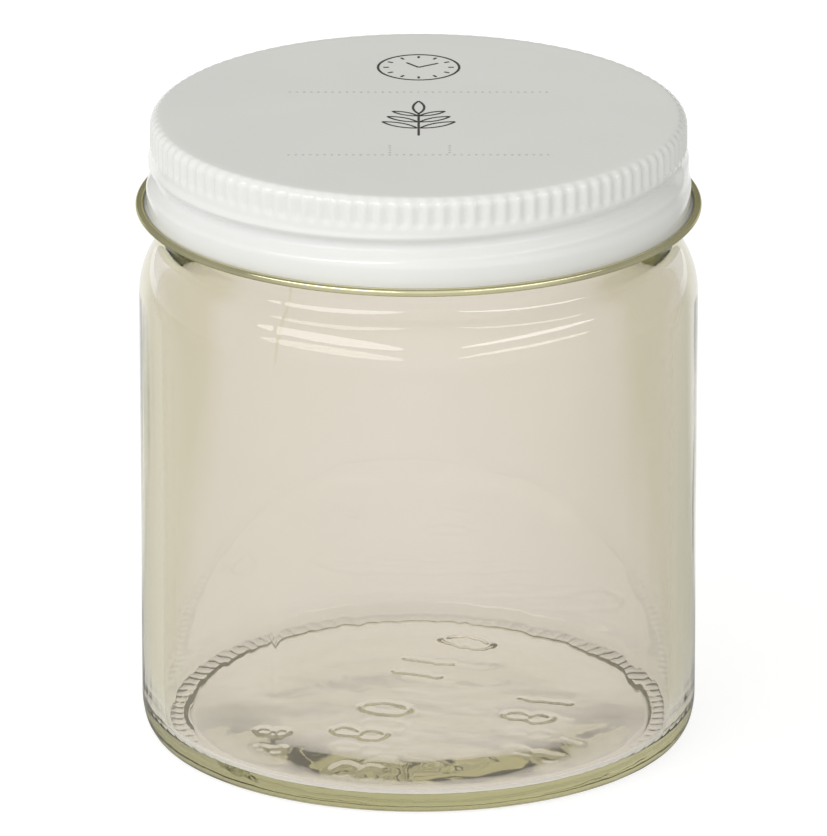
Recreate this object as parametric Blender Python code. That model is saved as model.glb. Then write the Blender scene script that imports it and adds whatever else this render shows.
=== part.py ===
"""Small glass curing jar with a screw-on sheet-metal lid, closed.

The jar is one piece of moulded glass: a heavy base that stands on a ring, a straight wall, a rounded
shoulder and a neck with one outside screw thread. The lid is pressed from one sheet: a flat panel, a
fluted grip band, one rolled thread that hooks under the glass thread, and an edge curled outwards. A
soft sealing ring lies under the rim of the panel, over the mouth of the glass.

Metres, +Z up, origin at the middle of the base. Angles are seen from above and run counter-clockwise
from the front, which is -Y.
"""

import math

import bmesh
import bpy

# Glass body
BODY_DIAMETER = 0.0603
JAR_HEIGHT = 0.0679
WALL = 0.0024
WALL_DRAFT = 0.00015
HEEL_INSET = 0.0019
HEEL_HEIGHT = 0.0040
BEARING_WIDTH = 0.0027
BEARING_EDGE = 0.0004
PUSH_UP = 0.0010
FLOOR_THICKNESS = 0.0039
FLOOR_CORNER = 0.0030

# Glass shoulder and neck
SHOULDER_SET_IN = 0.0033
SHOULDER_RADIUS = 0.0095
NECK_FILLET = 0.0030
FINISH_HEIGHT = 0.0099
NECK_WALL = 0.0019
LIP_RADIUS = 0.0005

# Screw thread on the glass, right-handed
THREAD_PITCH = 0.00423
THREAD_DEPTH = 0.0012
THREAD_ROOT = 0.0022
THREAD_CREST = 0.0008
THREAD_TURNS = 1.1
THREAD_DROP = 0.0015
THREAD_TOP_ANGLE = math.radians(20)
THREAD_FADE = math.radians(25)

# Gap between pieces that rest on each other or run past each other
CLEARANCE = 0.0003

# Sealing ring
SEAL_THICKNESS = 0.00075
SEAL_OVERHANG = 0.0008
SEAL_EDGE = 0.0002

# Sheet-metal lid
SHEET = 0.00025
LID_HEIGHT = 0.0106
TOP_EDGE_RADIUS = 0.0009
GRIP_DROP = 0.0009
GRIP_HEIGHT = 0.0028
FLUTE_PITCH = 0.00168
FLUTE_DEPTH = 0.00025
FLUTE_RUN_OUT = 0.0003
SKIRT_STEP = 0.0005
SKIRT_STEP_DROP = 0.0041
SKIRT_STEP_HEIGHT = 0.0015
CURL_RADIUS = 0.0007

# Thread rolled into the lid's skirt
ROLLED_HOOK = 0.00055
ROLLED_ROOT = 0.0019
ROLLED_CREST = 0.0005
ROLLED_TURNS = 0.86
ROLLED_TOP_ANGLE = math.radians(75)
ROLLED_FADE = math.radians(25)

# Facets
GLASS_SIDES = 72
ARC_STEPS = 4

# Sizes that follow from the ones above
BODY_RADIUS = BODY_DIAMETER / 2
BASE_RADIUS = BODY_RADIUS - WALL_DRAFT
NECK_RADIUS = BODY_RADIUS - SHOULDER_SET_IN
NECK_FOOT = JAR_HEIGHT - FINISH_HEIGHT
BORE_RADIUS = NECK_RADIUS - NECK_WALL
THREAD_RADIUS = NECK_RADIUS + THREAD_DEPTH
SEAL_FOOT = JAR_HEIGHT + CLEARANCE
SEAL_TOP = SEAL_FOOT + SEAL_THICKNESS
CEILING = SEAL_TOP + CLEARANCE
LID_TOP = CEILING + SHEET
LID_FOOT = LID_TOP - LID_HEIGHT
GRIP_RADIUS = THREAD_RADIUS + CLEARANCE + SHEET + FLUTE_DEPTH
GRIP_VALLEY = GRIP_RADIUS - FLUTE_DEPTH
SKIRT_RADIUS = GRIP_RADIUS + SKIRT_STEP
FLUTES = round(math.tau * GRIP_RADIUS / FLUTE_PITCH)


def mix(start, end, share):
    """The value a share of the way from start to end."""
    return start + (end - start) * share


def ease(share):
    """A share from 0 to 1 that leaves and arrives gently."""
    share = min(max(share, 0.0), 1.0)
    return share * share * (3 - 2 * share)


def place(radius, angle, height):
    """A point in space from its radius, its angle from the front and its height."""
    return (radius * math.sin(angle), -radius * math.cos(angle), height)


def arc(centre_radius, centre_height, across, up, start, end, steps=ARC_STEPS):
    """Profile points on an elliptic arc, from one angle to the other, in degrees above level."""
    points = []
    for step in range(steps + 1):
        turn = math.radians(mix(start, end, step / steps))
        points.append((centre_radius + across * math.cos(turn), centre_height + up * math.sin(turn)))
    return points


def ring(mesh, sides, radius, height):
    """A level or wavy ring of points; radius and height are numbers or functions of the angle."""
    points = []
    for side in range(sides):
        angle = math.tau * side / sides
        reach = radius(angle) if callable(radius) else radius
        level = height(angle) if callable(height) else height
        points.append(mesh.verts.new(place(reach, angle, level)))
    return points


def turned(mesh, sides, profile):
    """Rings of points for each (radius, height) of a turned profile."""
    return [ring(mesh, sides, radius, height) for radius, height in profile]


def join(mesh, first, second):
    """Faces from one ring to the next one along the profile; one may have twice the points."""
    sides = min(len(first), len(second))
    for side in range(sides):
        after = (side + 1) % sides
        if len(first) == len(second):
            mesh.faces.new((first[side], first[after], second[after], second[side]))
        elif len(second) == 2 * sides:
            left, middle, right = second[2 * side], second[2 * side + 1], second[2 * after]
            mesh.faces.new((first[side], first[after], middle))
            mesh.faces.new((first[after], right, middle))
            mesh.faces.new((first[side], middle, left))
        else:
            left, middle, right = first[2 * side], first[2 * side + 1], first[2 * after]
            mesh.faces.new((second[after], second[side], middle))
            mesh.faces.new((left, middle, second[side]))
            mesh.faces.new((middle, right, second[after]))


def join_all(mesh, rings):
    """Faces along a whole list of rings."""
    for first, second in zip(rings, rings[1:]):
        join(mesh, first, second)


def cap(mesh, edge, upwards):
    """A flat round face that closes a ring."""
    mesh.faces.new(edge if upwards else edge[::-1])


def join_threaded(mesh, lower, upper, radius):
    """The neck wall between two rings, with the glass thread raised on it.

    The thread is a strip of points that climbs round the wall. Each upright column of points holds
    the lower ring, every turn of the strip that passes it, and the upper ring; neighbouring columns
    are joined across the points that belong together.
    """
    sides = len(lower)
    steps = round(THREAD_TURNS * sides)
    top_side = round(THREAD_TOP_ANGLE / math.tau * sides)
    fade_steps = THREAD_FADE / math.tau * sides
    top_height = JAR_HEIGHT - THREAD_DROP
    section = ((-THREAD_ROOT / 2, 0), (-THREAD_CREST / 2, 1), (THREAD_CREST / 2, 1), (THREAD_ROOT / 2, 0))
    columns = [[point] for point in lower]
    strip = []
    for step in range(steps + 1):
        side = (top_side - steps + step) % sides
        angle = math.tau * side / sides
        centre = top_height - THREAD_PITCH * (steps - step) / sides
        rise = THREAD_DEPTH * ease(min(step, steps - step) / fade_steps)
        row = [mesh.verts.new(place(radius + rise * share, angle, centre + up)) for up, share in section]
        strip.append(row)
        columns[side].extend(row)
    for column, point in zip(columns, upper):
        column.append(point)
    for side, left in enumerate(columns):
        right = columns[(side + 1) % sides]
        links = [(0, 0)]
        for step in range((side - top_side + steps) % sides, steps, sides):
            links.extend((left.index(a), right.index(b)) for a, b in zip(strip[step], strip[step + 1]))
        links.append((len(left) - 1, len(right) - 1))
        for (left_low, right_low), (left_high, right_high) in zip(links, links[1:]):
            right_part = right[right_low:right_high + 1]
            left_part = left[left_low + 1:left_high + 1]
            mesh.faces.new([left[left_low]] + right_part + left_part[::-1])


def shoulder(outer_radius, neck_radius, bend, fillet, neck_foot):
    """Profile points of a shoulder: round over from the wall, then a fillet up into the neck."""
    slope = math.degrees(math.acos(1 - (outer_radius - neck_radius) / (bend + fillet)))
    wall_top = neck_foot - (bend + fillet) * math.sin(math.radians(slope))
    over = arc(outer_radius - bend, wall_top, bend, bend, 0, slope)
    into = arc(neck_radius + fillet, neck_foot, fillet, fillet, 180 + slope, 180, 3)
    return over + into[1:]


def skirt_radius(height):
    """Outside radius of the plain skirt: it steps out below the grip band."""
    share = (LID_TOP - SKIRT_STEP_DROP - height) / SKIRT_STEP_HEIGHT
    return mix(GRIP_VALLEY, SKIRT_RADIUS, min(max(share, 0.0), 1.0))


def rolled_share(angle):
    """How far round the rolled thread's path an angle lies, from 0 at its lower end."""
    start = ROLLED_TOP_ANGLE - ROLLED_TURNS * math.tau
    return ((angle - start) % math.tau) / math.tau


def rolled_height(angle):
    """Height of the rolled thread's middle: it climbs with the pitch, then runs back down."""
    share = rolled_share(angle)
    if share > ROLLED_TURNS:
        share = ROLLED_TURNS * (1 - ease((share - ROLLED_TURNS) / (1 - ROLLED_TURNS)))
    return rolled_foot() + THREAD_PITCH * share


def rolled_foot():
    """Height of the rolled thread's lower end, so that it hooks just under the glass thread."""
    hook_radius = THREAD_RADIUS - ROLLED_HOOK
    hook_share = ROLLED_HOOK / THREAD_DEPTH
    glass_half = mix(THREAD_CREST, THREAD_ROOT, hook_share) / 2
    flank_share = (THREAD_RADIUS - hook_radius) / (GRIP_VALLEY - SHEET - hook_radius)
    sheet_half = mix(ROLLED_CREST, ROLLED_ROOT, flank_share) / 2
    below = CLEARANCE + max(glass_half + ROLLED_CREST / 2, THREAD_CREST / 2 + sheet_half)
    turns_down = ROLLED_TURNS + (THREAD_TOP_ANGLE - ROLLED_TOP_ANGLE) / math.tau
    return JAR_HEIGHT - THREAD_DROP - below - THREAD_PITCH * turns_down


def rolled_depth_share(angle):
    """How deep the rolled thread is at an angle, from 0 past its ends to 1."""
    share = rolled_share(angle)
    return ease(min(share, ROLLED_TURNS - share) * math.tau / ROLLED_FADE)


def rolled_ring(mesh, sides, position, inset):
    """One ring of the rolled thread; position runs from -1, its lower root, to 1, its upper root."""
    crest_share = ROLLED_CREST / ROLLED_ROOT
    groove_radius = THREAD_RADIUS - ROLLED_HOOK + SHEET
    depth = 1 if abs(position) <= crest_share else 0

    def height(angle):
        return rolled_height(angle) + position * ROLLED_ROOT / 2

    def radius(angle):
        wall_radius = skirt_radius(height(angle))
        return mix(wall_radius, groove_radius, depth * rolled_depth_share(angle)) - inset

    return ring(mesh, sides, radius, height)


def skirt_rings(mesh, inset):
    """Rings of the lid's skirt from the curl up to the top edge, moved inwards by inset."""
    crest_share = ROLLED_CREST / ROLLED_ROOT
    grip_top = LID_TOP - GRIP_DROP
    grip_foot = grip_top - GRIP_HEIGHT

    def fluted(angle):
        on_ridge = round(angle / math.tau * 2 * FLUTES) % 2 == 0
        return (GRIP_RADIUS if on_ridge else GRIP_VALLEY) - inset

    def step_foot(angle):
        step = LID_TOP - SKIRT_STEP_DROP - SKIRT_STEP_HEIGHT
        return max(step, rolled_height(angle) + ROLLED_ROOT / 2 + FLUTE_RUN_OUT)

    def step_foot_radius(angle):
        return skirt_radius(step_foot(angle)) - inset

    def below_flutes(angle):
        return max(grip_foot - FLUTE_RUN_OUT, step_foot(angle) + FLUTE_RUN_OUT)

    def flute_foot(angle):
        return below_flutes(angle) + FLUTE_RUN_OUT

    rings = [rolled_ring(mesh, FLUTES, position, inset) for position in (-1, -crest_share, crest_share, 1)]
    rings.append(ring(mesh, FLUTES, step_foot_radius, step_foot))
    rings.append(ring(mesh, FLUTES, GRIP_VALLEY - inset, below_flutes))
    rings.append(ring(mesh, 2 * FLUTES, fluted, flute_foot))
    rings.append(ring(mesh, 2 * FLUTES, fluted, grip_top))
    return rings


def build_glass(mesh):
    """The jar: base, heel, wall, shoulder, threaded neck and mouth, then down the inside to the floor."""
    bearing_outer = BASE_RADIUS - HEEL_INSET
    bearing_inner = bearing_outer - BEARING_WIDTH
    hollow = bearing_inner - BEARING_EDGE
    underside = [(hollow / 2, PUSH_UP), (hollow, BEARING_EDGE), (bearing_inner, 0)]
    heel = arc(bearing_outer, HEEL_HEIGHT, HEEL_INSET, HEEL_HEIGHT, 270, 360)
    outer_shoulder = shoulder(BODY_RADIUS, NECK_RADIUS, SHOULDER_RADIUS, NECK_FILLET, NECK_FOOT)
    outside = turned(mesh, GLASS_SIDES, underside + heel + outer_shoulder)

    lip_foot = JAR_HEIGHT - LIP_RADIUS
    lip = arc(NECK_RADIUS - LIP_RADIUS, lip_foot, LIP_RADIUS, LIP_RADIUS, 0, 90, 2)
    lip += arc(BORE_RADIUS + LIP_RADIUS, lip_foot, LIP_RADIUS, LIP_RADIUS, 90, 180, 2)
    inner_bend = SHOULDER_RADIUS - WALL
    inner_fillet = NECK_FILLET + NECK_WALL
    inner_shoulder = shoulder(BODY_RADIUS - WALL, BORE_RADIUS, inner_bend, inner_fillet, NECK_FOOT)
    corner_radius = BASE_RADIUS - WALL - FLOOR_CORNER
    corner = arc(corner_radius, FLOOR_THICKNESS + FLOOR_CORNER, FLOOR_CORNER, FLOOR_CORNER, 360, 270)
    inside = turned(mesh, GLASS_SIDES, lip + inner_shoulder[::-1] + corner)

    cap(mesh, outside[0], upwards=False)
    join_all(mesh, outside)
    join_threaded(mesh, outside[-1], inside[0], NECK_RADIUS)
    join_all(mesh, inside)
    cap(mesh, inside[-1], upwards=True)


def build_seal(mesh):
    """The sealing ring: flat under the panel, its other corners rounded."""
    inner = BORE_RADIUS - SEAL_OVERHANG
    outer = GRIP_VALLEY - SHEET - CLEARANCE
    low = SEAL_FOOT + SEAL_EDGE
    high = SEAL_TOP - SEAL_EDGE
    profile = [(inner, SEAL_TOP)]
    profile += arc(inner + SEAL_EDGE, low, SEAL_EDGE, SEAL_EDGE, 180, 270, 2)
    profile += arc(outer - SEAL_EDGE, low, SEAL_EDGE, SEAL_EDGE, 270, 360, 2)
    profile += arc(outer - SEAL_EDGE, high, SEAL_EDGE, SEAL_EDGE, 0, 90, 2)
    rings = turned(mesh, GLASS_SIDES, profile)
    join_all(mesh, rings + rings[:1])


def build_lid(mesh):
    """The lid, along its sheet: under the panel, down inside, round the curl, up outside, over the top."""
    panel_radius = GRIP_VALLEY - TOP_EDGE_RADIUS
    bend_height = LID_TOP - TOP_EDGE_RADIUS
    inner_bend = TOP_EDGE_RADIUS - SHEET
    ceiling = turned(mesh, FLUTES, arc(panel_radius, bend_height, inner_bend, inner_bend, 90, 0, 3))
    inner_skirt = skirt_rings(mesh, SHEET)[::-1]
    curl_radius = SKIRT_RADIUS - SHEET + CURL_RADIUS
    curl_height = LID_FOOT + CURL_RADIUS
    meeting = math.degrees(math.acos((SKIRT_RADIUS - curl_radius) / CURL_RADIUS))
    curl = turned(mesh, FLUTES, arc(curl_radius, curl_height, CURL_RADIUS, CURL_RADIUS, 180, 360 + meeting, 8))
    outer_skirt = skirt_rings(mesh, 0)
    top_edge = arc(panel_radius, bend_height, TOP_EDGE_RADIUS, TOP_EDGE_RADIUS, 0, 90, 3)
    top = turned(mesh, FLUTES, top_edge)

    cap(mesh, ceiling[0], upwards=False)
    join_all(mesh, ceiling + inner_skirt + curl + outer_skirt + top)
    cap(mesh, top[-1], upwards=True)


def finish(name, colour, roughness, transmission=0.0):
    """A plain material for one piece."""
    material = bpy.data.materials.new(name)
    material.use_nodes = True
    shader = material.node_tree.nodes["Principled BSDF"]
    shader.inputs["Base Color"].default_value = (*colour, 1.0)
    shader.inputs["Roughness"].default_value = roughness
    shader.inputs["Metallic"].default_value = 0.0
    shader.inputs["Transmission Weight"].default_value = transmission
    return material


def add_piece(name, build, material, carrier=None):
    """Builds one piece as a named object, with its origin on the jar's axis or on its carrier."""
    mesh = bmesh.new()
    build(mesh)
    if carrier:
        bmesh.ops.translate(mesh, vec=-carrier.location, verts=mesh.verts)
    data = bpy.data.meshes.new(name)
    mesh.to_mesh(data)
    mesh.free()
    data.shade_smooth()
    data.set_sharp_from_angle(angle=math.radians(35))
    data.materials.append(material)
    piece = bpy.data.objects.new(name, data)
    piece.parent = carrier
    bpy.context.collection.objects.link(piece)


for old in list(bpy.data.objects):
    bpy.data.objects.remove(old, do_unlink=True)

lid_axis = bpy.data.objects.new("lid_axis", None)
lid_axis.location = (0, 0, JAR_HEIGHT)
lid_axis.empty_display_size = BODY_RADIUS
bpy.context.collection.objects.link(lid_axis)

add_piece("glass_jar", build_glass, finish("clear_glass", (0.86, 0.85, 0.76), 0.03, 1.0))
add_piece("liner_ring", build_seal, finish("soft_seal", (0.86, 0.84, 0.76), 0.5), lid_axis)
add_piece("lid_shell", build_lid, finish("white_enamel", (0.87, 0.87, 0.86), 0.28), lid_axis)
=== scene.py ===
"""Looks for the glass curing jar: every visible piece, the floor it stands on, the light and the camera.

Metres, +Z up. The jar stands at the origin and -Y faces the camera. Angles are seen from above and run
counter-clockwise from the front.
"""

import math

import bmesh
import bpy
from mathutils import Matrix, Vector


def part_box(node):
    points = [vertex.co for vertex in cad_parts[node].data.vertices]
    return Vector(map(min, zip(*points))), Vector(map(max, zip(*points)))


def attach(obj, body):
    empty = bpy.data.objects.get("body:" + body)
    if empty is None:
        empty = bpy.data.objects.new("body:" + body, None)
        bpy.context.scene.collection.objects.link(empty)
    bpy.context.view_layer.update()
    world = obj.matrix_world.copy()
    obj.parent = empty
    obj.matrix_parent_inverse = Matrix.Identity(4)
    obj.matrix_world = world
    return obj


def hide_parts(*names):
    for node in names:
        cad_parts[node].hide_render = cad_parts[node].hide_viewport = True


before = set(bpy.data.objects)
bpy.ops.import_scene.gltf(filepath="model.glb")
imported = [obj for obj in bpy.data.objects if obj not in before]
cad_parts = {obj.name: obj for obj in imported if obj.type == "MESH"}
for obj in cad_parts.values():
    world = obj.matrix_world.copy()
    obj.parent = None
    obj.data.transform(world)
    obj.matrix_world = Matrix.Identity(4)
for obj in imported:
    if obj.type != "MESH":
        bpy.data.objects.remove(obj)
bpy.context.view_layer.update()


# Glass jar
# One moulded piece of straw-tinted glass: a heavy base on a knurled bearing ring, a straight wall, a
# round shoulder and a neck with a screw thread. The two halves of its mould leave a faint seam.
_, jar_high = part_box("glass_jar")
BODY_RADIUS = jar_high.x
JAR_HEIGHT = jar_high.z
WALL = 0.0024
WALL_DRAFT = 0.00015
HEEL_INSET = 0.0019
HEEL_HEIGHT = 0.0040
BEARING_WIDTH = 0.0027
PUSH_UP = 0.0003
PUSH_UP_EDGE = 0.0006
FLOOR_MIDDLE = 0.00255
FLOOR_RIM = 0.0021
FLOOR_CORNER = 0.0012
FLOOR_FALLS = (0.0170, 0.0262)
FLOOR_TILT = 0.0015
SHOULDER_SET_IN = 0.0033
SHOULDER_BEND = 0.0083
NECK_FILLET = 0.0042
INNER_DROP = 0.0014
FINISH_HEIGHT = 0.0099
NECK_WALL = 0.0019
LIP_RADIUS = 0.0005
THREAD_PITCH = 0.00423
THREAD_TURNS = 1.1
THREAD_DROP = 0.0015
THREAD_TOP_ANGLE = math.radians(20)
KNURL_HEIGHT = 0.00003
KNURL_SPAN = (0.15, 0.85)
FINE, MEDIUM = 720, 360

BASE_RADIUS = BODY_RADIUS - WALL_DRAFT
NECK_RADIUS = BODY_RADIUS - SHOULDER_SET_IN
NECK_FOOT = JAR_HEIGHT - FINISH_HEIGHT
BORE_RADIUS = NECK_RADIUS - NECK_WALL
BEARING_OUTER = BASE_RADIUS - HEEL_INSET
BEARING_INNER = BEARING_OUTER - BEARING_WIDTH
FLOOR_EDGE = BASE_RADIUS - WALL - FLOOR_CORNER

# Rings under the base and on the inner floor: from one radius to another, how many, and their sides.
UNDERSIDE_RINGS = ((0.0004, 0.003, 7, 45), (0.003, 0.006, 10, 90), (0.006, 0.010, 15, 180),
                   (0.010, BEARING_INNER, 58, MEDIUM))
FLOOR_RINGS = ((FLOOR_EDGE, 0.010, 22, 180), (0.010, 0, 5, 90))

# The raised figures under the base: digit, millimetres to the right and to the back, and height.
FIGURES = (("8", -6.4, -8.3, 5.5), ("0", -3.6, -1.0, 5.3), ("8", 11.8, -3.5, 5.0), ("1", 13.8, 1.2, 5.0),
           ("1", -0.3, 9.1, 5.1), ("1", 1.0, 12.8, 5.1), ("0", 5.6, 18.9, 5.4), ("8", -15.5, -7.9, 3.4))
FIGURES_TURNED = 70

# Heights between which each of these comes in or dies away.
SEAM_STARTS = (0.002, 0.005)
SEAM_GROWS = (0.049, 0.051)
SEAM_ENDS = (NECK_FOOT, NECK_FOOT + 0.002)
UNDERSIDE_ENDS = (0.0011, 0.0013)
MOTTLE_ENDS = (0.003, 0.0065)
WAVES_END = (NECK_FOOT - 0.004, NECK_FOOT - 0.002)
FLOOR_ENDS = (0.0035, 0.006)
TILT_ENDS = (0.0033, 0.0090)

# How much of the waves and mottle of the wall the inner floor has.
FLOOR_WAVES = 0.4


def mix(start, end, share):
    """The value a share of the way from start to end."""
    return start + (end - start) * share


def eased(value, start, end):
    """0 where a value is at or before start, rising smoothly to 1 at end."""
    share = min(max((value - start) / (end - start), 0), 1)
    return (1 - math.cos(math.pi * share)) / 2


def run(start, end, steps):
    """Evenly spaced values from start up to, but not with, end."""
    return [mix(start, end, step / steps) for step in range(steps)]


def bend(radius, height, size, start, end, steps, upright=None):
    """Profile points round a bend, from one angle to the other, in degrees above level."""
    tall = upright or size
    turns = [math.radians(mix(start, end, step / steps)) for step in range(steps + 1)]
    return [(radius + size * math.cos(turn), height + tall * math.sin(turn)) for turn in turns]


def shoulder(wall_radius, neck_radius, neck_foot, over, into, steps):
    """Profile points from the top of a wall, round over the shoulder and up into the neck."""
    slope = math.degrees(math.acos(1 - (wall_radius - neck_radius) / (over + into)))
    wall_top = neck_foot - (over + into) * math.sin(math.radians(slope))
    points = bend(wall_radius - over, wall_top, over, 0, slope, steps)
    return points + bend(neck_radius + into, neck_foot, into, 180 + slope, 180, steps // 2)[1:]


def sided(profile, sides, outside):
    """Rings for turn(): each profile point with its number of sides and its side of the wall."""
    return [(radius, height, sides, outside) for radius, height in profile]


def turn(name, rings, closed=False):
    """A turned mesh through rings of (radius, height, sides, outside); a ring of one side is a pole."""
    shell = bmesh.new()
    outside = shell.verts.layers.float.new("outside")
    rows = []
    for radius, height, sides, side_of_wall in rings:
        row = []
        for side in range(sides):
            angle = math.tau * side / sides
            row.append(shell.verts.new((radius * math.sin(angle), -radius * math.cos(angle), height)))
            row[-1][outside] = side_of_wall
        rows.append(row)
    for first, second in zip(rows, rows[1:] + rows[:1] if closed else rows[1:]):
        steps = max(len(first), len(second))
        for step in range(steps):
            corners = []
            for row, at in ((first, step), (first, step + 1), (second, step + 1), (second, step)):
                corner = row[at * len(row) // steps % len(row)]
                if corner not in corners:
                    corners.append(corner)
            shell.faces.new(corners).smooth = True
    bmesh.ops.recalc_face_normals(shell, faces=shell.faces)
    mesh = bpy.data.meshes.new(name)
    shell.to_mesh(mesh)
    shell.free()
    blank = bpy.data.objects.new(name, mesh)
    bpy.context.scene.collection.objects.link(blank)
    return blank


def add(tree, kind, sockets=None, **settings):
    """A new node with its settings, and its sockets set, or linked where a value is another socket."""
    made = tree.nodes.new(kind)
    for setting, value in settings.items():
        setattr(made, setting, value)
    for socket, value in (sockets or {}).items():
        if isinstance(value, bpy.types.NodeSocket):
            tree.links.new(value, made.inputs[socket])
        else:
            made.inputs[socket].default_value = value
    return made


def maths(tree, operation, *values):
    """The result of a Math node."""
    return add(tree, "ShaderNodeMath", dict(enumerate(values)), operation=operation).outputs[0]


def vectors(tree, operation, *values):
    """The result of a Vector Math node that gives a vector."""
    return add(tree, "ShaderNodeVectorMath", dict(enumerate(values)), operation=operation).outputs[0]


def scaled(tree, vector, factor):
    """A vector times a number."""
    sockets = {"Vector": vector, "Scale": factor}
    return add(tree, "ShaderNodeVectorMath", sockets, operation="SCALE").outputs[0]


def length(tree, vector):
    """How long a vector is."""
    return add(tree, "ShaderNodeVectorMath", {0: vector}, operation="LENGTH").outputs["Value"]


def reach(tree, vector, way):
    """How far a vector reaches a given way."""
    sockets = {0: vector, 1: way}
    return add(tree, "ShaderNodeVectorMath", sockets, operation="DOT_PRODUCT").outputs["Value"]


def axis_part(tree, vector, axis):
    """The X, Y or Z of a vector."""
    return add(tree, "ShaderNodeSeparateXYZ", {0: vector}).outputs[axis]


def vector_of(tree, **parts):
    """A vector from its X, Y and Z, each 0 if it isn't given."""
    return add(tree, "ShaderNodeCombineXYZ", parts).outputs[0]


def fades(tree, value, full, gone):
    """1 where a value is at or before full, falling smoothly to 0 where it reaches gone."""
    sockets = {"Value": value, "From Min": full, "From Max": gone, "To Min": 1.0, "To Max": 0.0}
    return add(tree, "ShaderNodeMapRange", sockets, interpolation_type="SMOOTHSTEP").outputs[0]


def rises(tree, value, start, end):
    """0 where a value is at or before start, rising smoothly to 1 at end."""
    return maths(tree, "SUBTRACT", 1.0, fades(tree, value, start, end))


def shaping_tree(name, sizes):
    """A Geometry Nodes tree with a mesh and the named sizes going in, and its input node."""
    tree = bpy.data.node_groups.new(name, "GeometryNodeTree")
    tree.interface.new_socket("Geometry", in_out="INPUT", socket_type="NodeSocketGeometry")
    tree.interface.new_socket("Geometry", in_out="OUTPUT", socket_type="NodeSocketGeometry")
    for size, value in sizes.items():
        kind = "NodeSocketInt" if isinstance(value, int) else "NodeSocketFloat"
        tree.interface.new_socket(size, in_out="INPUT", socket_type=kind)
    return tree, tree.nodes.new("NodeGroupInput").outputs


def realized(tree, geometry):
    """Instances made real geometry."""
    return add(tree, "GeometryNodeRealizeInstances", {"Geometry": geometry}).outputs[0]


def finish_tree(tree, geometry, materials):
    """Ends a tree: real geometry, with each material on the faces that its selection takes."""
    geometry = realized(tree, geometry)
    for material, selection in materials:
        sockets = {"Geometry": geometry, "Selection": selection, "Material": material}
        geometry = add(tree, "GeometryNodeSetMaterial", sockets).outputs[0]
    tree.links.new(geometry, tree.nodes.new("NodeGroupOutput").inputs[0])


def shaped(blank, tree, sizes):
    """The plain mesh that a tree makes of a blank, under the blank's name."""
    modifier = blank.modifiers.new(tree.name, "NODES")
    modifier.node_group = tree
    for item in tree.interface.items_tree:
        if item.in_out == "INPUT" and item.name in sizes:
            modifier[item.identifier] = sizes[item.name]
    evaluated = blank.evaluated_get(bpy.context.evaluated_depsgraph_get())
    mesh = bpy.data.meshes.new_from_object(evaluated)
    blank.modifiers.remove(modifier)
    blank.data = mesh
    mesh.name = blank.name
    return blank


def cloud_pattern(tree, place, scale, detail):
    """A soft cloudy pattern between 0 and 1."""
    sockets = {"Vector": place, "Scale": scale, "Detail": detail}
    return add(tree, "ShaderNodeTexNoise", sockets).outputs["Fac"]


def surface(name, scale, detail, dark, light):
    """A new material, cloudy between two colours, with its tree, shader, place and cloud pattern."""
    material = bpy.data.materials.new(name)
    material.use_nodes = True
    tree = material.node_tree
    shader = tree.nodes["Principled BSDF"]
    place = add(tree, "ShaderNodeTexCoord").outputs["Object"]
    clouds = cloud_pattern(tree, place, scale, detail)
    shades = add(tree, "ShaderNodeValToRGB", {"Fac": clouds})
    shades.color_ramp.elements[0].position = 0.3
    shades.color_ramp.elements[1].position = 0.7
    shades.color_ramp.elements[0].color = (*dark, 1)
    shades.color_ramp.elements[1].color = (*light, 1)
    tree.links.new(shades.outputs[0], shader.inputs["Base Color"])
    return material, tree, shader, place, clouds


def bumpy(tree, shader, pattern, strength, distance):
    """Bumps a surface by a pattern."""
    sockets = {"Height": pattern, "Strength": strength, "Distance": distance}
    tree.links.new(add(tree, "ShaderNodeBump", sockets).outputs[0], shader.inputs["Normal"])


def level(tree, vector):
    """A vector without its height."""
    return vectors(tree, "MULTIPLY", vector, (1, 1, 0))


def polar(tree):
    """The position of a point, its level direction away from the axis and its radius."""
    position = add(tree, "GeometryNodeInputPosition").outputs[0]
    out = level(tree, position)
    return position, vectors(tree, "NORMALIZE", out), length(tree, out)


def wall_side(tree):
    """1 on the outside of a turned wall, and 0 on its inside."""
    return add(tree, "GeometryNodeInputNamedAttribute", {"Name": "outside"}).outputs["Attribute"]


def away_from(tree, shape, place):
    """How far a place is from the nearest edge of a shape."""
    sockets = {0: shape, "Sample Position": place}
    return add(tree, "GeometryNodeProximity", sockets, target_element="EDGES").outputs["Distance"]


def helix(tree, radius, pitch, turns, foot, start):
    """A right-handed screw line on a cylinder, from its foot height and starting angle."""
    sockets = {"Resolution": 90, "Rotations": turns, "Start Radius": radius, "End Radius": radius,
               "Height": maths(tree, "MULTIPLY", pitch, turns), "Reverse": True}
    spiral = add(tree, "GeometryNodeCurveSpiral", sockets).outputs[0]
    screw = add(tree, "GeometryNodeCurveToMesh", {"Curve": spiral}).outputs[0]
    sockets = {"Geometry": screw, "Translation": vector_of(tree, Z=foot),
               "Rotation": vector_of(tree, Z=start)}
    return add(tree, "GeometryNodeTransform", sockets).outputs[0]


def moved(tree, geometry, offset):
    """The geometry with its points moved."""
    return add(tree, "GeometryNodeSetPosition", {"Geometry": geometry, "Offset": offset}).outputs[0]


def edge(tree, start, end):
    """A straight edge between two points."""
    sockets = {"Count": 2, "Start Location": start, "Offset": end}
    return add(tree, "GeometryNodeMeshLine", sockets, mode="END_POINTS").outputs[0]


def points_round(tree, count, radius):
    """Points spaced evenly round a circle."""
    return add(tree, "GeometryNodeMeshCircle", {"Vertices": count, "Radius": radius}).outputs[0]


def facing_out(tree):
    """The turn that points a piece on a circle away from the middle."""
    here = add(tree, "GeometryNodeInputPosition").outputs[0]
    return add(tree, "FunctionNodeAlignRotationToVector", {"Vector": here}, axis="X").outputs[0]


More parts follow.
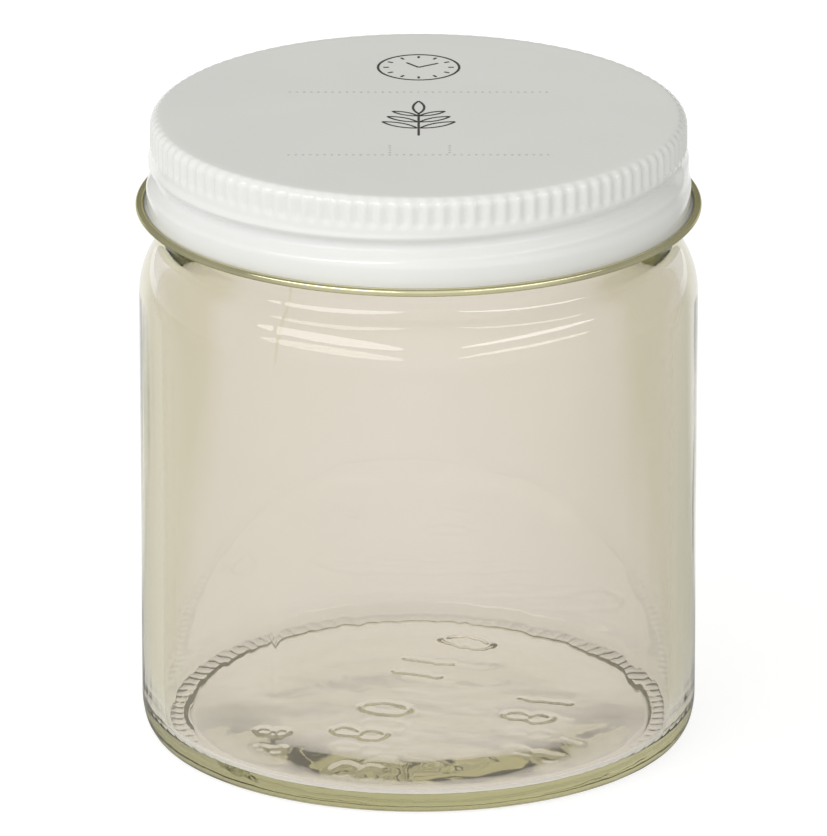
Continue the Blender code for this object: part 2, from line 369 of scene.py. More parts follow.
def at_points(tree, points, piece, **sockets):
    """A piece at each of the points."""
    sockets = {"Points": points, "Instance": piece, **sockets}
    return add(tree, "GeometryNodeInstanceOnPoints", sockets).outputs[0]


def line(tree, start, end):
    """A straight line as a curve."""
    return add(tree, "GeometryNodeCurvePrimitiveLine", {"Start": start, "End": end}).outputs[0]


def round_line(tree, radius, steps):
    """A circle as a curve."""
    sockets = {"Resolution": steps, "Radius": radius}
    return add(tree, "GeometryNodeCurvePrimitiveCircle", sockets).outputs[0]


def joined(tree, parts):
    """Several geometries as one."""
    node = add(tree, "GeometryNodeJoinGeometry")
    for part in parts:
        tree.links.new(part, node.inputs[0])
    return node.outputs[0]


def placed(tree, geometry, across, deep, turned=0, scale=(1, 1, 1)):
    """A geometry scaled, turned in the level plane and moved."""
    sockets = {"Geometry": geometry, "Translation": (across, deep, 0),
               "Rotation": (0, 0, math.radians(turned)), "Scale": scale}
    return add(tree, "GeometryNodeTransform", sockets).outputs[0]


def figure(tree, digit):
    """A 1, an 8 or a 0 in thin lines, one unit tall. These look alike from both sides of the glass."""
    if digit == "1":
        return line(tree, (0, -0.5, 0), (0, 0.5, 0))
    loops = {"8": ((0.25, 0.21), (-0.25, 0.25)), "0": ((0, 0.30),)}[digit]
    circle = round_line(tree, 1.0, 32)
    return joined(tree, [placed(tree, circle, 0, middle, scale=(width, 0.5 / len(loops), 1))
                         for middle, width in loops])


def jar_rings():
    """Rings of the whole glass wall, from under the middle of the base to the inner floor's middle."""
    rings = [(0, PUSH_UP, 1, 1)]
    for start, end, rows, sides in UNDERSIDE_RINGS:
        for radius in run(start, end, rows):
            falls = eased(radius, BEARING_INNER - PUSH_UP_EDGE, BEARING_INNER)
            rings.append((radius, mix(PUSH_UP, KNURL_HEIGHT, falls), sides, 1))
    outside = [(radius, KNURL_HEIGHT) for radius in run(BEARING_INNER, BEARING_OUTER, 10)]
    outside += bend(BEARING_OUTER, HEEL_HEIGHT, HEEL_INSET, 270, 360, 14, HEEL_HEIGHT - KNURL_HEIGHT)
    outside += shoulder(BODY_RADIUS, NECK_RADIUS, NECK_FOOT, SHOULDER_BEND, NECK_FILLET, 16)
    rings += sided(outside, FINE, 1)
    lip = [(NECK_RADIUS, height) for height in run(NECK_FOOT, JAR_HEIGHT - LIP_RADIUS, 36)[1:]]
    lip += bend(NECK_RADIUS - LIP_RADIUS, JAR_HEIGHT - LIP_RADIUS, LIP_RADIUS, 0, 90, 4)
    lip += bend(BORE_RADIUS + LIP_RADIUS, JAR_HEIGHT - LIP_RADIUS, LIP_RADIUS, 90, 180, 4)
    rings += sided(lip, MEDIUM, 1)
    over, into = SHOULDER_BEND - WALL, NECK_FILLET + NECK_WALL
    inside = shoulder(BODY_RADIUS - WALL, BORE_RADIUS, NECK_FOOT - INNER_DROP, over, into, 14)[::-1]
    corner = bend(FLOOR_EDGE, FLOOR_RIM + FLOOR_CORNER, FLOOR_CORNER, 360, 270, 10)
    wall_foot, wall_top = corner[0], inside[-1]
    inside += [(mix(wall_top[0], wall_foot[0], share), mix(wall_top[1], wall_foot[1], share))
               for share in run(0, 1, 10)[1:]]
    inside += corner
    rings += sided(inside, MEDIUM, 0)
    for start, end, rows, sides in FLOOR_RINGS:
        for radius in run(start, end, rows)[1:]:
            rings.append((radius, mix(FLOOR_MIDDLE, FLOOR_RIM, eased(radius, *FLOOR_FALLS)), sides, 0))
    return rings + [(0, FLOOR_MIDDLE, 1, 0)]


straw_glass, tree, shader, place, _ = surface(
    "straw glass", 45.0, 2.0, (0.900, 0.868, 0.826), (0.914, 0.876, 0.842))
bumpy(tree, shader, cloud_pattern(tree, place, 90.0, 0.0), 0.05, 0.0006)
shader.inputs["Roughness"].default_value = 0.0
shader.inputs["IOR"].default_value = 1.52
shader.inputs["Transmission Weight"].default_value = 1.0
depth = add(tree, "ShaderNodeVolumeAbsorption", {"Color": (0.60, 0.59, 0.26, 1), "Density": 30.0})
tree.links.new(depth.outputs[0], tree.nodes["Material Output"].inputs["Volume"])

jar_sizes = {
    "Thread Pitch": THREAD_PITCH,
    "Thread Turns": THREAD_TURNS,
    "Thread Depth": 0.0012,
    "Thread Crest": 0.0008,
    "Thread Root": 0.0022,
    "Neck Radius": NECK_RADIUS,
    "Thread Foot": JAR_HEIGHT - THREAD_DROP - THREAD_PITCH * THREAD_TURNS,
    "Thread Start": THREAD_TOP_ANGLE - THREAD_TURNS * math.tau - math.pi / 2,
    "Seam Angle": math.radians(-31),
    "Seam Width": 0.0005,
    "Seam Height": 0.000015,
    "Shoulder Seam": 0.00009,
    "Knurl Count": 92,
    "Knurl Height": KNURL_HEIGHT,
    "Knurl Inner": BEARING_INNER,
    "Knurl Outer": BEARING_OUTER,
    "Knurl Crest": 0.0001,
    "Knurl Reach": 0.00055,
    "Mark Height": 0.00022,
    "Mark Crest": 0.0001,
    "Mark Reach": 0.00055,
    "Wave Scale": 70.0,
    "Wave Height": 0.0002,
    "Mottle Scale": 300.0,
    "Mottle Height": 0.0001,
    "Floor Tilt": FLOOR_TILT,
}
tree, size = shaping_tree("thread, seam and knurl", jar_sizes)
position, outwards, radius = polar(tree)
height = axis_part(tree, position, "Z")
on_outside = wall_side(tree)
on_inside = maths(tree, "SUBTRACT", 1.0, on_outside)
normal = add(tree, "GeometryNodeInputNormal").outputs[0]

thread = helix(tree, size["Neck Radius"], size["Thread Pitch"], size["Thread Turns"],
               size["Thread Foot"], size["Thread Start"])
crest, root = [maths(tree, "DIVIDE", size[key], 2.0) for key in ("Thread Crest", "Thread Root")]
on_thread = fades(tree, away_from(tree, thread, position), crest, root)
on_thread = maths(tree, "MULTIPLY", on_thread, on_outside)
raised = scaled(tree, outwards, maths(tree, "MULTIPLY", on_thread, size["Thread Depth"]))
geometry = moved(tree, size["Geometry"], raised)

seam_way = vector_of(tree, X=maths(tree, "COSINE", size["Seam Angle"]),
                     Y=maths(tree, "SINE", size["Seam Angle"]))
off_seam = maths(tree, "ABSOLUTE", reach(tree, position, seam_way))
seam = maths(tree, "MULTIPLY", fades(tree, off_seam, 0.0, size["Seam Width"]), on_outside)
on_shoulder = rises(tree, height, *SEAM_GROWS)
ridge = maths(tree, "MULTIPLY_ADD", on_shoulder, size["Shoulder Seam"], size["Seam Height"])
seam = maths(tree, "MULTIPLY", seam, ridge)
between = maths(tree, "MULTIPLY", rises(tree, height, *SEAM_STARTS), fades(tree, height, *SEAM_ENDS))
seam = maths(tree, "MULTIPLY", seam, between)
geometry = moved(tree, geometry, scaled(tree, normal, seam))

bearing = maths(tree, "SUBTRACT", size["Knurl Outer"], size["Knurl Inner"])
tooth_ends = [vector_of(tree, X=maths(tree, "MULTIPLY", bearing, share)) for share in KNURL_SPAN]
ring = points_round(tree, size["Knurl Count"], size["Knurl Inner"])
teeth = realized(tree, at_points(tree, ring, edge(tree, *tooth_ends), Rotation=facing_out(tree)))
flat_place = level(tree, position)
underneath = maths(tree, "MULTIPLY", fades(tree, height, *UNDERSIDE_ENDS), on_outside)
knurl = fades(tree, away_from(tree, teeth, flat_place), size["Knurl Crest"], size["Knurl Reach"])
knurl = maths(tree, "MULTIPLY", maths(tree, "MULTIPLY", knurl, underneath), size["Knurl Height"])

figures = []
for digit, across, deep, tall in FIGURES:
    scale = (tall / 1000, tall / 1000, 1)
    figures.append(placed(tree, figure(tree, digit), across / 1000, deep / 1000, FIGURES_TURNED, scale))
marks = add(tree, "GeometryNodeCurveToMesh", {"Curve": joined(tree, figures)}).outputs[0]
raised = fades(tree, away_from(tree, marks, flat_place), size["Mark Crest"], size["Mark Reach"])
raised = maths(tree, "MULTIPLY", maths(tree, "MULTIPLY", raised, underneath), size["Mark Height"])
fall = maths(tree, "MULTIPLY", maths(tree, "ADD", knurl, raised), -1.0)
geometry = moved(tree, geometry, vector_of(tree, Z=fall))

wave = maths(tree, "SUBTRACT", cloud_pattern(tree, position, size["Wave Scale"], 1.0), 0.5)
wave = maths(tree, "MULTIPLY", wave, size["Wave Height"])
wave = maths(tree, "MULTIPLY", maths(tree, "MULTIPLY", wave, on_inside), fades(tree, height, *WAVES_END))
mottle = maths(tree, "SUBTRACT", cloud_pattern(tree, position, size["Mottle Scale"], 2.0), 0.5)
mottle = maths(tree, "MULTIPLY", mottle, size["Mottle Height"])
mottle = maths(tree, "MULTIPLY", mottle, fades(tree, height, *MOTTLE_ENDS))
at_rim = rises(tree, radius, BEARING_INNER - 0.001, BEARING_OUTER)
sideways = maths(tree, "MULTIPLY_ADD", mottle, at_rim, wave)
geometry = moved(tree, geometry, scaled(tree, outwards, sideways))
floor_wave = maths(tree, "MULTIPLY", maths(tree, "ADD", wave, mottle), FLOOR_WAVES)
floor_wave = maths(tree, "MULTIPLY", floor_wave, fades(tree, height, *FLOOR_ENDS))
# The inner floor is a little thicker at the back than at the front, as the gob of glass settled.
to_back = maths(tree, "MULTIPLY_ADD", axis_part(tree, position, "Y"), 0.5 / BORE_RADIUS, 0.5)
tilt = maths(tree, "MULTIPLY", to_back, size["Floor Tilt"])
tilt = maths(tree, "MULTIPLY", tilt, fades(tree, height, *TILT_ENDS))
rise = maths(tree, "MULTIPLY", maths(tree, "ADD", floor_wave, tilt), on_inside)
geometry = moved(tree, geometry, vector_of(tree, Z=rise))
finish_tree(tree, geometry, [(straw_glass, True)])

jar = shaped(turn("jar_glass", jar_rings()), tree, jar_sizes)
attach(jar, "jar")
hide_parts("glass_jar")


# Sealing ring
# A ring of soft cream compound, flowed into the rim of the lid and cured there. It has a rounded,
# slightly sunken underside that the lip of the glass presses into.
seal_low, seal_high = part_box("liner_ring")
SEAL_INNER = BORE_RADIUS - 0.0008
SEAL_EDGE = 0.00022
SEAL_SUNK = 0.00006

compound, tree, shader, _, mottle = surface(
    "cream sealing compound", 900.0, 4.0, (0.80, 0.78, 0.69), (0.88, 0.86, 0.79))
bumpy(tree, shader, mottle, 0.3, 0.00005)
shader.inputs["Roughness"].default_value = 0.5

middle = (SEAL_INNER + seal_high.x) / 2
underside = bend(SEAL_INNER + SEAL_EDGE, seal_low.z + SEAL_EDGE, SEAL_EDGE, 180, 270, 4)
underside += [(middle, seal_low.z + SEAL_SUNK)]
underside += bend(seal_high.x - SEAL_EDGE, seal_low.z + SEAL_EDGE, SEAL_EDGE, 270, 360, 4)
upper = bend(seal_high.x - SEAL_EDGE, seal_high.z - SEAL_EDGE, SEAL_EDGE, 0, 90, 4)
upper += bend(SEAL_INNER + SEAL_EDGE, seal_high.z - SEAL_EDGE, SEAL_EDGE, 90, 180, 4)
seal = turn("sealing_ring", sided(underside + upper, 180, 1), closed=True)
seal.data.materials.append(compound)
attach(seal, "seal")
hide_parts("liner_ring")


# Lid
# One pressing of thin tinplate, white enamel outside and gold lacquer inside. The grip band is fluted,
# the thread is rolled in below it, and the raw edge is curled outwards, which shows the gold side.
lid_low, lid_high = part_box("lid_shell")
INK = 0.00003
LID_TOP = lid_high.z - INK
LID_FOOT = lid_low.z
SHEET = 0.00025
TOP_EDGE = 0.0011
GRIP_RADIUS = 0.0289
SKIRT_RADIUS = 0.02935
SKIRT_SET_BACK = 0.00026
SKIRT_NARROWS = (0.0617, 0.0627)
FLARE = 0.00075
CURL_RADIUS = 0.00045
CURL_END = 510
GRIP_TOP = LID_TOP - TOP_EDGE
GRIP_FOOT = LID_TOP - 0.0039
STEP_FOOT = LID_TOP - 0.0048
PANEL_RADIUS = GRIP_RADIUS - TOP_EDGE
CURL_CENTRE = LID_FOOT + 0.0001 + CURL_RADIUS
CURL_MIDDLE = lid_high.x - CURL_RADIUS
FLARE_HEIGHT = CURL_CENTRE - CURL_RADIUS + SHEET + FLARE
AROUND, FLUTED = 432, 864
# The middle of the rolled thread stands at this height where it ends, nearly a quarter turn on from the
# front.
ROLLED_TOP = 0.06479
ROLLED_END = math.radians(75)
ROLLED_TURNS = 0.86
# Radii between which the flutes come in at the top edge, and the painted light inside the lid gives way
# to the gold of the curl.
FLUTES_START = (0.0276, 0.0285)
INSIDE_LIGHT_ENDS = (0.0292, 0.0296)


def skirt_side(inset, grip_rows, rows, outside):
    """Rings down one side of the skirt, from under the top edge to the start of the curl."""
    rings = [(GRIP_RADIUS - inset, height, FLUTED, outside)
             for height in run(GRIP_TOP, GRIP_FOOT, grip_rows)]
    waist = SKIRT_RADIUS - SKIRT_SET_BACK
    for share in run(0, 1, rows // 3):
        radius = mix(GRIP_RADIUS, waist, eased(share, 0, 1))
        rings.append((radius - inset, mix(GRIP_FOOT, STEP_FOOT, share), AROUND, outside))
    for height in run(STEP_FOOT, FLARE_HEIGHT, rows):
        radius = mix(SKIRT_RADIUS, waist, eased(height, *SKIRT_NARROWS))
        rings.append((radius - inset, height, AROUND, outside))
    return rings


def lid_rings():
    """Rings along the sheet: over the panel, down outside, round the curl and back up inside."""
    panel_steps = ((0, 1), (0.35, 54), (0.7, 108))
    flare_middle = SKIRT_RADIUS + FLARE
    rings = [(PANEL_RADIUS * share, LID_TOP, sides, 1) for share, sides in (*panel_steps, (0.97, 216))]
    rings += sided(bend(PANEL_RADIUS, LID_TOP - TOP_EDGE, TOP_EDGE, 90, 10, 8), AROUND, 1)
    rings += skirt_side(0, 12, 24, 1)
    rings += sided(bend(flare_middle, FLARE_HEIGHT, FLARE, 180, 270, 8), AROUND, 1)
    rings += sided(bend(CURL_MIDDLE, CURL_CENTRE, CURL_RADIUS - SHEET, 270, CURL_END, 6), AROUND, 1)
    rings += sided(bend(CURL_MIDDLE, CURL_CENTRE, CURL_RADIUS, CURL_END, 270, 18), AROUND, 0)
    rings += sided(bend(flare_middle, FLARE_HEIGHT, FLARE + SHEET, 270, 180, 8), AROUND, 0)
    rings += skirt_side(SHEET, 8, 18, 0)[:0:-1]
    rings += sided(bend(PANEL_RADIUS, LID_TOP - TOP_EDGE, TOP_EDGE - SHEET, 0, 90, 5), AROUND, 0)
    return rings + [(PANEL_RADIUS * share, LID_TOP - SHEET, sides, 0)
                    for share, sides in panel_steps[::-1]]


enamel, tree, shader, place, clouds = surface(
    "white enamel", 70.0, 3.0, (0.816, 0.822, 0.826), (0.841, 0.846, 0.849))
gloss = add(tree, "ShaderNodeMapRange", {"Value": clouds, "To Min": 0.05, "To Max": 0.09}).outputs[0]
tree.links.new(gloss, shader.inputs["Roughness"])
bumpy(tree, shader, cloud_pattern(tree, place, 1400.0, 2.0), 0.08, 0.00005)

lacquer, tree, shader, place, clouds = surface(
    "gold lacquer on tinplate", 160.0, 3.0, (0.68, 0.65, 0.42), (0.78, 0.745, 0.49))
gloss = add(tree, "ShaderNodeMapRange", {"Value": clouds, "To Min": 0.08, "To Max": 0.13}).outputs[0]
tree.links.new(gloss, shader.inputs["Roughness"])
shader.inputs["Metallic"].default_value = 0.9
shader.inputs["Specular Tint"].default_value = (0.5, 0.48, 0.34, 1)
# Painted light: the lacquer inside the lid is painted pale for the light that reaches it only through
# the glass.
thick = shader.inputs["Base Color"].links[0].from_socket
# thin is the share of painted light: 1 inside the lid, 0 on the curl.
thin = fades(tree, length(tree, level(tree, place)), *INSIDE_LIGHT_ENDS)
sockets = {"Factor": thin, "A": thick, "B": (0.92, 0.90, 0.80, 1)}
pale = add(tree, "ShaderNodeMix", sockets, data_type="RGBA")
tree.links.new(pale.outputs["Result"], shader.inputs["Base Color"])

lid_sizes = {
    "Flutes": 108,
    "Flute Depth": 0.0003,
    "Flute Half Width": 0.00084,
    "Flute Foot": 0.06680,
    "Flute Top": 0.0690,
    "Skirt Radius": SKIRT_RADIUS,
    "Thread Pitch": THREAD_PITCH,
    "Thread Turns": ROLLED_TURNS,
    "Thread Foot": ROLLED_TOP - THREAD_PITCH * ROLLED_TURNS,
    "Thread Start": ROLLED_END - ROLLED_TURNS * math.tau - math.pi / 2,
    "Thread Radius": 0.0281,
    "Thread Crest": 0.0003,
    "Thread Root": 0.0028,
    "Sheet": SHEET,
}
tree, size = shaping_tree("flutes and rolled thread", lid_sizes)
position, outwards, radius = polar(tree)
upright = vector_of(tree, Z=axis_part(tree, position, "Z"))
on_outside = wall_side(tree)
on_skirt = vectors(tree, "ADD", scaled(tree, outwards, size["Skirt Radius"]), upright)

thread = helix(tree, size["Skirt Radius"], size["Thread Pitch"], size["Thread Turns"],
               size["Thread Foot"], size["Thread Start"])
crest, root = [maths(tree, "DIVIDE", size[key], 2.0) for key in ("Thread Crest", "Thread Root")]
pressed = fades(tree, away_from(tree, thread, on_skirt), crest, root)
inset = maths(tree, "MULTIPLY", maths(tree, "SUBTRACT", 1.0, on_outside), size["Sheet"])
target = maths(tree, "SUBTRACT", size["Thread Radius"], inset)
push = maths(tree, "MULTIPLY", maths(tree, "SUBTRACT", target, radius), pressed)

flute = edge(tree, vector_of(tree, Z=size["Flute Foot"]), vector_of(tree, Z=size["Flute Top"]))
ring = points_round(tree, size["Flutes"], size["Skirt Radius"])
flutes = realized(tree, at_points(tree, ring, flute))
ridge = fades(tree, away_from(tree, flutes, on_skirt), 0.0, size["Flute Half Width"])
ridge = maths(tree, "MULTIPLY", ridge, maths(tree, "SUBTRACT", 1.0, pressed))
dent = maths(tree, "MULTIPLY", ridge, size["Flute Depth"])
dent = maths(tree, "MULTIPLY", dent, rises(tree, radius, *FLUTES_START))
geometry = moved(tree, size["Geometry"], scaled(tree, outwards, maths(tree, "SUBTRACT", push, dent)))
is_outside = maths(tree, "GREATER_THAN", on_outside, 0.5)
finish_tree(tree, geometry, [(lacquer, True), (enamel, is_outside)])

lid = shaped(turn("lid_pressing", lid_rings()), tree, lid_sizes)
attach(lid, "lid")
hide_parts("lid_shell")


# Print on the lid
# Flat ink on the enamel: a plain dial towards the back, a herb sprig in the middle, and two faint dotted
# rules to write against, the front one with two short dotted uprights.
DIAL_DEEP = 0.0162
SPRIG_DEEP = -0.0022
TICK_REACH = 0.0003
LEAF_BOW = 0.00060
LEAF_SHRINKS = 0.14
RULE_START = -0.0139
RULES_DEEP = (0.0076, -0.0138)
UPRIGHTS_ACROSS = (-0.0031, 0.0033)
UPRIGHTS_FOOT = -0.0130
PRINT_MIDDLE = LID_TOP + INK / 2


def ink(name, dark, light):
    """A thin matt ink, cloudy between two colours."""
    material, tree, shader, _, clouds = surface(name, 2500.0, 3.0, dark, light)
    bumpy(tree, shader, clouds, 0.2, 0.00001)
    shader.inputs["Roughness"].default_value = 0.42
    return material


def points_along(tree, count, start, step):
    """A row of points, a step apart."""
    sockets = {"Count": count, "Start Location": start, "Offset": step}
    return add(tree, "GeometryNodeMeshLine", sockets).outputs[0]


def printed(name, tree, sizes):
    """Prints what a tree makes on the lid."""
    blank = bpy.data.objects.new(name, bpy.data.meshes.new(name))
    bpy.context.scene.collection.objects.link(blank)
    piece = shaped(blank, tree, sizes)
    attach(piece, "lid")


dark_ink = ink("dark ink", (0.030, 0.026, 0.022), (0.050, 0.043, 0.036))
grey_ink = ink("faint grey ink", (0.47, 0.47, 0.45), (0.56, 0.56, 0.54))

mark_sizes = {
    "Stroke": 0.00025,
    "Ink": INK,
    "Dial Radius": 0.0044,
    "Ticks": 12,
    "Leaf Pairs": 3,
    "Leaf Pitch": 0.0021,
}
tree, size = shaping_tree("dial and sprig", mark_sizes)
rim = round_line(tree, size["Dial Radius"], 96)
tick_ring = points_round(tree, size["Ticks"], maths(tree, "MULTIPLY", size["Dial Radius"], 0.80))
tick = line(tree, (-TICK_REACH, 0, 0), (TICK_REACH, 0, 0))
ticks = at_points(tree, tick_ring, tick, Rotation=facing_out(tree))
hands = [line(tree, (0, 0, 0), (-0.0013, 0.0016, 0)), line(tree, (0, 0, 0), (0.0021, 0.0014, 0))]
dial = placed(tree, joined(tree, [rim, ticks, *hands]), 0, DIAL_DEEP)

leaf_sides = []
for bow in (LEAF_BOW, -LEAF_BOW):
    sockets = {"Resolution": 16, "Start": (0.0002, 0, 0), "Middle": (0.0022, bow, 0),
               "End": (0.0045, 0, 0)}
    leaf_sides.append(add(tree, "GeometryNodeCurveArc", sockets, mode="POINTS").outputs[0])
leaf = joined(tree, leaf_sides)
leaf_step = vector_of(tree, Y=size["Leaf Pitch"])
leaf_places = points_along(tree, size["Leaf Pairs"], (0, -0.0026, 0), leaf_step)
order = add(tree, "GeometryNodeInputIndex").outputs[0]
shrink = maths(tree, "MULTIPLY_ADD", order, -LEAF_SHRINKS, 1.0)
pairs = [at_points(tree, leaf_places, leaf, Rotation=(0, 0, math.radians(turned)), Scale=shrink)
         for turned in (30, 150)]
tip = placed(tree, leaf, 0, 0.0022, 90)
stem = line(tree, (0, -0.0050, 0), (0, 0.0024, 0))
sprig = placed(tree, joined(tree, [*pairs, tip, stem]), 0, SPRIG_DEEP)

strokes = realized(tree, joined(tree, [dial, sprig]))
sockets = {"Width": size["Stroke"], "Height": size["Ink"]}
nib = add(tree, "GeometryNodeCurvePrimitiveQuadrilateral", sockets).outputs[0]
sockets = {"Curve": strokes, "Profile Curve": nib, "Fill Caps": True}
marks = add(tree, "GeometryNodeCurveToMesh", sockets).outputs[0]
finish_tree(tree, moved(tree, marks, (0, 0, PRINT_MIDDLE)), [(dark_ink, True)])
printed("print_marks", tree, mark_sizes)

rule_sizes = {
    "Dots": 37,
    "Upright Dots": 4,
    "Dot Pitch": 0.00077,
    "Dot Radius": 0.00014,
    "Ink": INK,
}
tree, size = shaping_tree("dotted rules", rule_sizes)
across = vector_of(tree, X=size["Dot Pitch"])
upwards = vector_of(tree, Y=size["Dot Pitch"])
rows = [points_along(tree, size["Dots"], (RULE_START, deep, 0), across) for deep in RULES_DEEP]
rows += [points_along(tree, size["Upright Dots"], (side, UPRIGHTS_FOOT, 0), upwards)
         for side in UPRIGHTS_ACROSS]
sockets = {"Vertices": 12, "Radius": size["Dot Radius"], "Depth": size["Ink"]}
dot = add(tree, "GeometryNodeMeshCylinder", sockets).outputs[0]
sockets = {"Geometry": at_points(tree, joined(tree, rows), dot), "Translation": (0, 0, PRINT_MIDDLE)}
dots = add(tree, "GeometryNodeTransform", sockets).outputs[0]
finish_tree(tree, dots, [(grey_ink, True)])
printed("print_rules", tree, rule_sizes)


# Floor, light and camera
# A white floor under a white backdrop, two large soft boxes in front to the left and right, and a long
# lens a little above the jar. What the glass shows of the floor holds painted light and shade.
FLOOR_REACH = 6.0
FLOOR_DROP = 0.00005

# How white the paper is under the light, and how much it glows by itself. It glows evenly where it is
# seen directly, and with painted light and shade where it is seen through or mirrored in the glass. Each
# pair gives where a change of the glow begins and where it ends.
PAPER_WHITE = 0.75
PAPER_SEEN = 0.34
PAPER_THROUGH = 0.37
PAPER_MIRRORED = 0.20
SEEN_GLOW = 0.80
THROUGH_GLOW = 0.50
# Painted light: seen through the glass, the floor glows more on the left, which leaves the right of the
# jar shaded.
LEFT_GLOW = 0.16
LEFT_ENDS = (0.0, 0.06)
# Painted light: seen through the glass, the floor under the jar glows more.
UNDER_GLOW = 0.09
UNDER_ENDS = (0.0240, 0.0300)
# Painted reflection: mirrored in the glass and metal, the floor glows more in front and behind than to
# the sides.
MIRRORED_GLOW = 0.24
FRONT_GLOW = 0.26
FRONT_STARTS = (0.2, 0.8)
BACK_GLOW = 0.59
BACK_STARTS = (0.68, 0.85)
# Painted shadow: mirrored in the glass, the floor is darker in a ring round the jar's foot.
FOOT_SHADE = 0.55
FOOT_STARTS = (0.0255, 0.0270)
FOOT_ENDS = (0.0300, 0.0340)
# Painted shade: seen through the glass, the floor is darker and yellower to the sides, which shades the
# edges of the jar.
SIDE_SHADE_TINT = (0.86, 0.85, 0.69, 1)
SIDES_START = (0.0295, 0.042)

# How bright the room is all round, overhead, mirrored, and through the glass on the right.
ROOM_WAY = (-0.77, -0.64, 0)
ROOM_DIM = 0.40
ROOM_BRIGHT = 1.50
ROOM_MIRRORED = 0.34
OVERHEAD_SHADE = 0.43
OVERHEAD_TINT = (1.0, 0.985, 0.88, 1)
BACKDROP_RIGHT = 0.78
RIGHT_REACH = 0.8


def kinds_of_ray(tree):
    """Which kind a ray is, each 0 or 1: seen directly, come through glass, or mirrored."""
    rays = add(tree, "ShaderNodeLightPath").outputs
    mirrored = maths(tree, "SUBTRACT", rays["Is Glossy Ray"], rays["Is Transmission Ray"])
    return rays["Is Camera Ray"], rays["Is Transmission Ray"], maths(tree, "MAXIMUM", mirrored, 0.0)


def along(tree, place, way):
    """How much a place, or a direction, lies a given way, from -1 to 1."""
    return reach(tree, vectors(tree, "NORMALIZE", place), way)


def blend(tree, share, first, second, kind="FLOAT"):
    """From the first number or colour to the second, by a share."""
    sockets = {"Factor": share, "A": first, "B": second}
    return add(tree, "ShaderNodeMix", sockets, data_type=kind).outputs["Result"]


paper = bpy.data.materials.new("white paper floor")
paper.use_nodes = True
tree = paper.node_tree
tree.nodes.remove(tree.nodes["Principled BSDF"])
seen, through, mirrored = kinds_of_ray(tree)
white = maths(tree, "MULTIPLY_ADD", seen, PAPER_SEEN - PAPER_WHITE, PAPER_WHITE)
white = maths(tree, "MULTIPLY_ADD", through, PAPER_THROUGH - PAPER_WHITE, white)
white = maths(tree, "MULTIPLY_ADD", mirrored, PAPER_MIRRORED - PAPER_WHITE, white)
place = add(tree, "ShaderNodeTexCoord").outputs["Object"]
across = axis_part(tree, place, "X")
away = length(tree, place)
in_front = rises(tree, along(tree, place, (0, -1, 0)), *FRONT_STARTS)
behind = rises(tree, along(tree, place, (0, 1, 0)), *BACK_STARTS)
# at_foot is where the painted shadow round the jar's foot falls.
at_foot = maths(tree, "MULTIPLY", rises(tree, away, *FOOT_STARTS), fades(tree, away, *FOOT_ENDS))
# Painted reflection: the mirrored floor is brighter in front and behind.
reflected = maths(tree, "MULTIPLY_ADD", behind, BACK_GLOW, MIRRORED_GLOW)
reflected = maths(tree, "MULTIPLY_ADD", in_front, FRONT_GLOW, reflected)
reflected = maths(tree, "MULTIPLY", reflected, maths(tree, "MULTIPLY_ADD", at_foot, -FOOT_SHADE, 1.0))
# Painted light through the glass: more on the left and under the jar.
come_through = maths(tree, "MULTIPLY_ADD", fades(tree, across, *LEFT_ENDS), LEFT_GLOW, THROUGH_GLOW)
come_through = maths(tree, "MULTIPLY_ADD", fades(tree, away, *UNDER_ENDS), UNDER_GLOW, come_through)
glow = maths(tree, "MULTIPLY", mirrored, reflected)
glow = maths(tree, "MULTIPLY_ADD", through, come_through, glow)
glow = maths(tree, "MULTIPLY_ADD", seen, SEEN_GLOW, glow)
# Painted shade at the sides, only in what the glass lets through.
side_shade = rises(tree, maths(tree, "ABSOLUTE", across), *SIDES_START)
tint = blend(tree, maths(tree, "MULTIPLY", side_shade, through), (1, 1, 1, 1), SIDE_SHADE_TINT, "RGBA")
lit = add(tree, "ShaderNodeBsdfDiffuse", {"Color": white}).outputs[0]
glowing = add(tree, "ShaderNodeEmission", {"Color": tint, "Strength": glow}).outputs[0]
bright = add(tree, "ShaderNodeAddShader", {0: lit, 1: glowing}).outputs[0]
tree.links.new(bright, tree.nodes["Material Output"].inputs["Surface"])

corners = [(-FLOOR_REACH, -FLOOR_REACH, 0), (FLOOR_REACH, -FLOOR_REACH, 0),
           (FLOOR_REACH, FLOOR_REACH, 0), (-FLOOR_REACH, FLOOR_REACH, 0)]
floor_mesh = bpy.data.meshes.new("floor")
floor_mesh.from_pydata(corners, [], [(0, 1, 2, 3)])
floor_mesh.materials.append(paper)
floor = bpy.data.objects.new("floor", floor_mesh)
floor.location.z = -FLOOR_DROP
bpy.context.scene.collection.objects.link(floor)

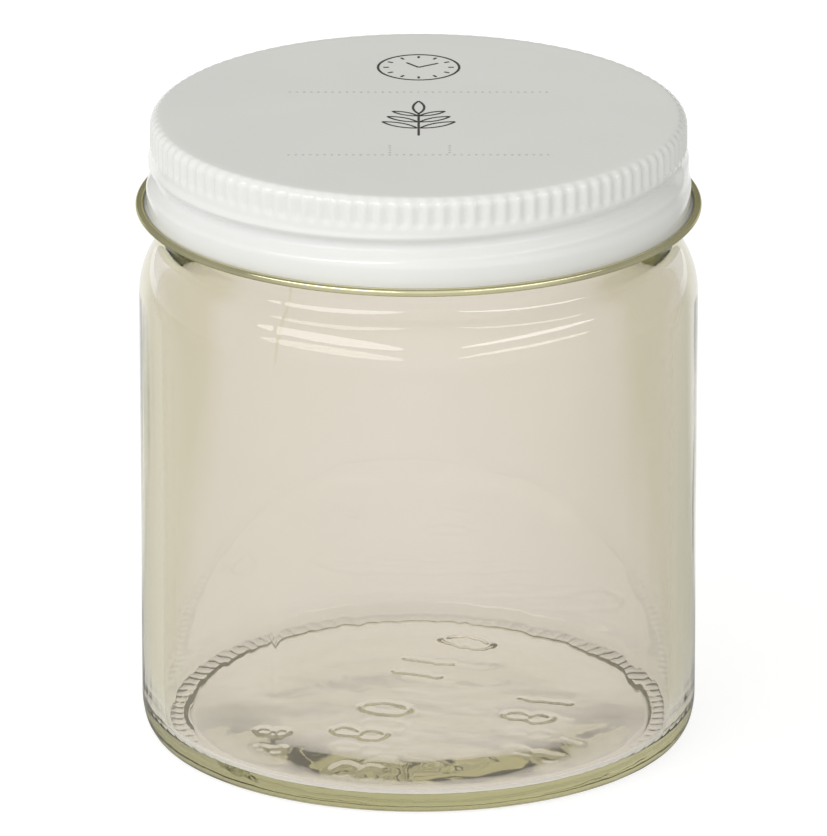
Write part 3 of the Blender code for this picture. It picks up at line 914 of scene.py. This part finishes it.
world = bpy.data.worlds.new("white studio")
bpy.context.scene.world = world
world.use_nodes = True
tree = world.node_tree
seen, through, mirrored = kinds_of_ray(tree)
way = add(tree, "ShaderNodeTexCoord").outputs["Generated"]
up = maths(tree, "MAXIMUM", along(tree, way, (0, 0, 1)), 0.0)
sockets = {"Value": along(tree, way, ROOM_WAY), "From Min": -1.0,
           "To Min": ROOM_DIM, "To Max": ROOM_BRIGHT}
room = add(tree, "ShaderNodeMapRange", sockets).outputs[0]
room = maths(tree, "MULTIPLY", room, maths(tree, "MULTIPLY_ADD", up, -OVERHEAD_SHADE, 1.0))
in_front = rises(tree, along(tree, way, (0, -1, 0)), *FRONT_STARTS)
reflected = maths(tree, "MULTIPLY_ADD", in_front, 1.0 - ROOM_MIRRORED, ROOM_MIRRORED)
to_left = fades(tree, axis_part(tree, way, "X"), 0.0, RIGHT_REACH)
backdrop = maths(tree, "MULTIPLY_ADD", to_left, 1.0 - BACKDROP_RIGHT, BACKDROP_RIGHT)
strength = blend(tree, mirrored, room, reflected)
strength = blend(tree, through, strength, backdrop)
strength = blend(tree, seen, strength, 1.0)
tree.links.new(strength, tree.nodes["Background"].inputs["Strength"])
tint = blend(tree, up, (1, 1, 1, 1), OVERHEAD_TINT, "RGBA")
tree.links.new(tint, tree.nodes["Background"].inputs["Color"])


def soft_box(name, azimuth, elevation, width, height, power):
    """A large soft lamp a metre from the jar, facing it and hidden from the camera."""
    lamp = bpy.data.lights.new(name, "AREA")
    lamp.shape = "ELLIPSE"
    lamp.size = width
    lamp.size_y = height
    lamp.energy = power
    box = bpy.data.objects.new(name, lamp)
    across, up = math.radians(azimuth), math.radians(elevation)
    way = Vector((math.sin(across) * math.cos(up), -math.cos(across) * math.cos(up), math.sin(up)))
    box.location = Vector((0, 0, 0.045)) + way
    box.rotation_euler = way.to_track_quat("Z", "Y").to_euler()
    box.visible_camera = False
    bpy.context.scene.collection.objects.link(box)


soft_box("left soft box", -41, 33, 1.15, 0.20, 2.2)
soft_box("right soft box", 51, 33, 1.10, 0.075, 1.1)

CAMERA_RISE = math.radians(19.26)
CAMERA_AWAY = 1.9663
AIM = Vector((-0.00055, 0, 0.0349))
camera = bpy.data.cameras.new("camera")
camera.lens = 783.2
camera.sensor_width = 36
camera.clip_end = 50
view = bpy.data.objects.new("camera", camera)
view.location = AIM + Vector((0, -math.cos(CAMERA_RISE), math.sin(CAMERA_RISE))) * CAMERA_AWAY
view.rotation_euler = (math.pi / 2 - CAMERA_RISE, 0, 0)
bpy.context.scene.collection.objects.link(view)
bpy.context.scene.camera = view
bpy.context.scene.view_settings.view_transform = "Standard"
# Light turns many times inside the heavy base before it leaves.
BOUNCES = 40
bpy.context.scene.cycles.max_bounces = BOUNCES
bpy.context.scene.cycles.glossy_bounces = BOUNCES
bpy.context.scene.cycles.transmission_bounces = BOUNCES
